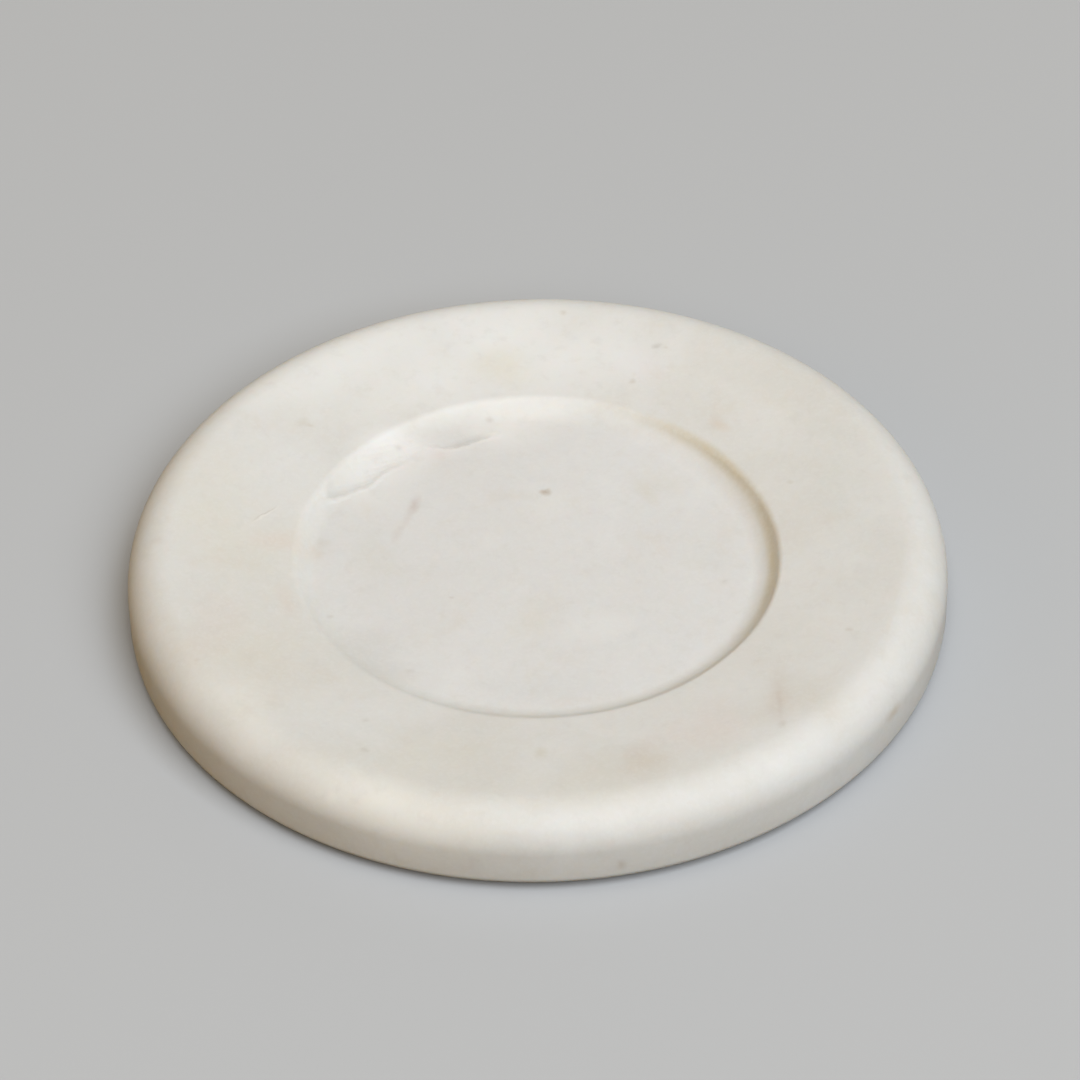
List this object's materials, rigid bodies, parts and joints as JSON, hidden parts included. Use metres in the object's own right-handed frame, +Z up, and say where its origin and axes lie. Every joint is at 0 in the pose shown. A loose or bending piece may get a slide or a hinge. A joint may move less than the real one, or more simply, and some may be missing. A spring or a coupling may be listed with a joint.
{
  "type": "ring dish",
  "caption": "Round white stone ring dish with a rolled edge, a wide rim that falls gently inwards and a shallow coved recess, standing on thin felt pads.",
  "frame": {"origin": "centre of the circle that the felt pads stand on, in the plane of the table top", "axes": "+Z up out of the recess; +Y points away from someone looking at the dish from the picture's side; the stone is round about Z and the pads stand on the diagonals between X and Y"},
  "size_m": [0.13, 0.13, 0.0136],
  "materials": {
    "honed_marble": "honed white marble with a soft satin sheen, faint warm clouds, small rust specks and hairline fissures",
    "felt": "pressed wool-mix felt, matte",
    "adhesive_film": "double-sided acrylic film"
  },
  "bodies": {
    "root": {"stone_dish": "honed_marble", "felt_pad_rear_right": "felt", "felt_pad_rear_left": "felt", "felt_pad_front_left": "felt", "felt_pad_front_right": "felt", "pad_adhesive_rear_right": "adhesive_film", "pad_adhesive_rear_left": "adhesive_film", "pad_adhesive_front_left": "adhesive_film", "pad_adhesive_front_right": "adhesive_film"}
  },
  "joints": []
}
